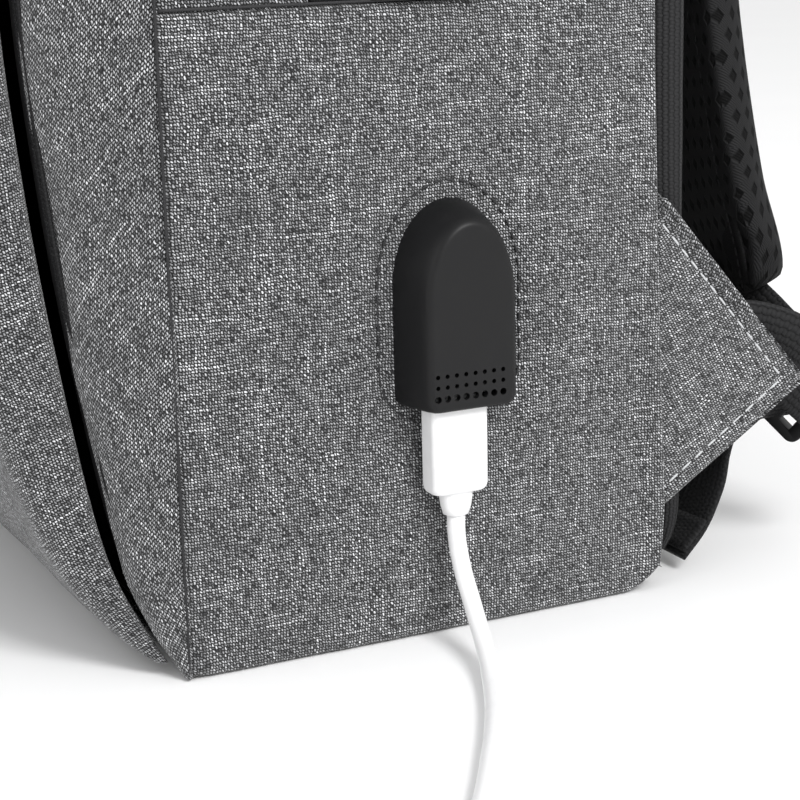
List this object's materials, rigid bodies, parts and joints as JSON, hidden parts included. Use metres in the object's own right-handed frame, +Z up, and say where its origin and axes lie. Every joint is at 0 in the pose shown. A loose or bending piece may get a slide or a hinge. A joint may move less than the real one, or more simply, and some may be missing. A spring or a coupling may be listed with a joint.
{
  "type": "solar backpack",
  "caption": "Box-shaped melange fabric backpack with a solar sheet on its front flap, a side USB port with a lead, padded shoulder straps and zipped pockets.",
  "frame": {"origin": "middle of the base, on the surface that the bag stands on", "axes": "+Z up along the bag's height, -Y towards the front flap, +X towards the side with the USB port"},
  "size_m": [0.4863, 0.2668, 0.483],
  "materials": {
    "melange_fabric": "plain weave of light and dark threads, matt",
    "black_lining": "smooth black lining cloth",
    "black_mesh": "black spacer mesh with diamond holes",
    "black_webbing": "ribbed woven black webbing",
    "zip_tape": "fine black zip tape with nylon teeth",
    "black_plastic": "fine moulded texture, matt",
    "dark_metal": "black enamelled die casting, satin",
    "white_plastic": "white moulded plastic, satin",
    "plug_metal": "nickel plated sheet steel",
    "solar_sheet": "dark laminated board",
    "solar_cell": "dark blue cell with fine silver fingers",
    "clear_film": "clear embossed film"
  },
  "bodies": {
    "root": {"side_panel_right": "melange_fabric", "side_panel_left": "melange_fabric", "bottom_panel": "melange_fabric", "top_panel": "melange_fabric", "front_gusset": "melange_fabric", "back_panel": "black_mesh", "back_binding": "black_webbing", "back_pad_right": "black_mesh", "back_pad_left": "black_mesh", "lumbar_pad": "black_mesh", "strap_yoke": "melange_fabric", "zip_tape_body": "zip_tape", "laptop_sleeve": "black_lining", "side_pouch_right": "black_lining", "side_pouch_left": "black_lining", "side_zip_right": "zip_tape", "side_zip_left": "zip_tape", "port_housing": "black_plastic", "port_backplate": "black_plastic", "usb_socket_shell": "plug_metal", "usb_socket_tongue": "white_plastic", "port_lead": "black_plastic", "port_lead_plug": "black_plastic", "cord_tube": "white_plastic", "cord_coil": "white_plastic", "far_plug": "white_plastic", "wing_right": "melange_fabric", "wing_left": "melange_fabric", "webbing_right": "black_webbing", "webbing_left": "black_webbing"},
    "flap": {"flap_panel": "melange_fabric", "flap_pocket": "melange_fabric", "zip_tape_flap": "zip_tape", "pocket_zip": "zip_tape", "solar_backing": "solar_sheet", "solar_cells": "solar_cell", "solar_cover": "clear_film", "solar_border": "black_webbing", "panel_snaps": "dark_metal", "solar_controller": "black_plastic", "controller_socket": "plug_metal"},
    "strap_right_body": {"shoulder_strap_right": "black_mesh", "ladder_lock_right": "black_plastic", "webbing_tail_right": "black_webbing"},
    "strap_left_body": {"shoulder_strap_left": "black_mesh", "ladder_lock_left": "black_plastic", "webbing_tail_left": "black_webbing"},
    "handle_body": {"carry_handle": "black_webbing"},
    "plug_body": {"usb_plug_overmould": "white_plastic", "usb_plug_shell": "plug_metal"},
    "pocket_slider_body": {"pocket_slider": "dark_metal"},
    "pocket_puller_body": {"pocket_puller": "black_plastic"},
    "side_slider_right_body": {"side_slider_right": "dark_metal"},
    "side_puller_right_body": {"side_puller_right": "black_plastic"},
    "main_slider_right_body": {"main_slider_right": "dark_metal"},
    "main_puller_right_body": {"main_puller_right": "black_plastic"},
    "side_slider_left_body": {"side_slider_left": "dark_metal"},
    "side_puller_left_body": {"side_puller_left": "black_plastic"},
    "main_slider_left_body": {"main_slider_left": "dark_metal"},
    "main_puller_left_body": {"main_puller_left": "black_plastic"}
  },
  "joints": [
    {"name": "flap_hinge", "type": "hinge", "parent": "root", "child": "flap", "pos_m": [0, -0.0665, 0.003], "axis": [1, 0, 0], "range_deg": [0, 45]},
    {"name": "shoulder_strap_right_swing", "type": "hinge", "parent": "root", "child": "strap_right_body", "pos_m": [0.052, 0.0765, 0.431], "axis": [1, 0, 0], "range_deg": [0, 15], "deforming": ["webbing_right"]},
    {"name": "shoulder_strap_left_swing", "type": "hinge", "parent": "root", "child": "strap_left_body", "pos_m": [-0.052, 0.0765, 0.431], "axis": [1, 0, 0], "range_deg": [0, 15], "deforming": ["webbing_left"]},
    {"name": "handle_fold", "type": "hinge", "parent": "root", "child": "handle_body", "pos_m": [0, 0.0781, 0.4514], "axis": [-1, 0, 0], "range_deg": [0, 60]},
    {"name": "usb_plug_pull", "type": "slide", "parent": "root", "child": "plug_body", "axis": [0, 0, -1], "range_m": [0, 0.0155], "deforming": ["cord_tube"]},
    {"name": "main_slider_right_run", "type": "slide", "parent": "root", "child": "main_slider_right_body", "axis": [1, 0, 0], "range_m": [0, 0.045]},
    {"name": "main_puller_right_swing", "type": "hinge", "parent": "main_slider_right_body", "child": "main_puller_right_body", "pos_m": [0.014, -0.0932, 0.4216], "axis": [0, 0, -1], "range_deg": [0, 100]},
    {"name": "side_slider_right_run", "type": "slide", "parent": "root", "child": "side_slider_right_body", "axis": [0, 1, 0], "range_m": [0, 0.025]},
    {"name": "side_puller_right_swing", "type": "hinge", "parent": "side_slider_right_body", "child": "side_puller_right_body", "pos_m": [0.152, -0.008, 0.158], "axis": [0, 0, -1], "range_deg": [0, 100]},
    {"name": "main_slider_left_run", "type": "slide", "parent": "root", "child": "main_slider_left_body", "axis": [-1, 0, 0], "range_m": [0, 0.045]},
    {"name": "main_puller_left_swing", "type": "hinge", "parent": "main_slider_left_body", "child": "main_puller_left_body", "pos_m": [-0.014, -0.0932, 0.4216], "axis": [0, 0, 1], "range_deg": [0, 100]},
    {"name": "side_slider_left_run", "type": "slide", "parent": "root", "child": "side_slider_left_body", "axis": [0, 1, 0], "range_m": [0, 0.025]},
    {"name": "side_puller_left_swing", "type": "hinge", "parent": "side_slider_left_body", "child": "side_puller_left_body", "pos_m": [-0.152, -0.008, 0.158], "axis": [0, 0, 1], "range_deg": [0, 100]},
    {"name": "pocket_slider_run", "type": "slide", "parent": "flap", "child": "pocket_slider_body", "axis": [1, 0, 0], "range_m": [0, 0.12]},
    {"name": "pocket_puller_swing", "type": "hinge", "parent": "pocket_slider_body", "child": "pocket_puller_body", "pos_m": [-0.07, -0.1199, 0.2075], "axis": [0, 0, -1], "range_deg": [0, 100]}
  ]
}
